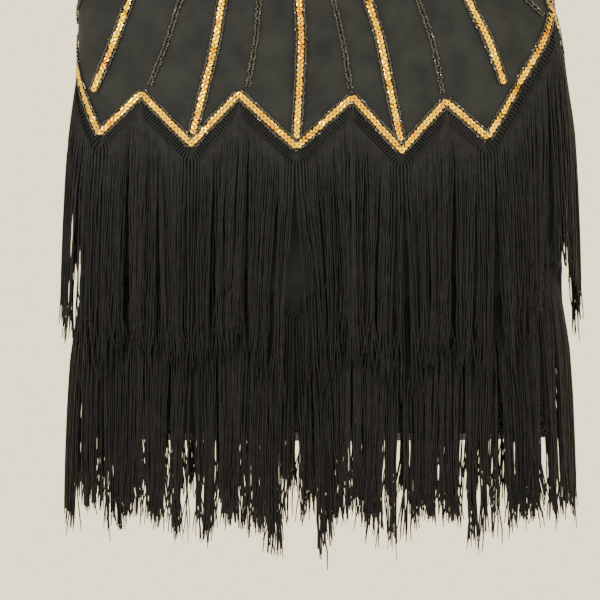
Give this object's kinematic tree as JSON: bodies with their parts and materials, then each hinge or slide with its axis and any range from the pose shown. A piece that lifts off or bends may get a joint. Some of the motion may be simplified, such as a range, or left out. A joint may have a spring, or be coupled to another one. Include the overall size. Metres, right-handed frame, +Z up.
{
  "type": "flapper dress on a hanger",
  "caption": "Sleeveless beaded dress hung flat on a plain hanger, with a V neck, a zigzag border and two tiers of zigzag fringe that hang past its hem.",
  "frame": {"origin": "inner top of the hanger's hook, where a rail or wall hook holds it", "axes": "+Z up, the front of the dress faces -Y, and +X is to the right of someone who looks at the front"},
  "size_m": [0.461, 0.1257, 1.0707],
  "materials": {
    "cloth": "matt ribbed mesh on a lining",
    "fringe": "soft twisted strands with a grey sheen",
    "gold_sequins": "polished, with copper-red stretches",
    "black_beads": "faceted and glossy",
    "bar_wood": "satin varnish",
    "hook_wire": "polished wire"
  },
  "bodies": {
    "root": {"dress_front": "cloth", "dress_back": "cloth", "fringe_upper_front": "fringe", "fringe_upper_back": "fringe", "fringe_lower_front": "fringe", "fringe_lower_back": "fringe", "hanger_bar": "bar_wood", "hanger_hook": "hook_wire"}
  },
  "joints": []
}
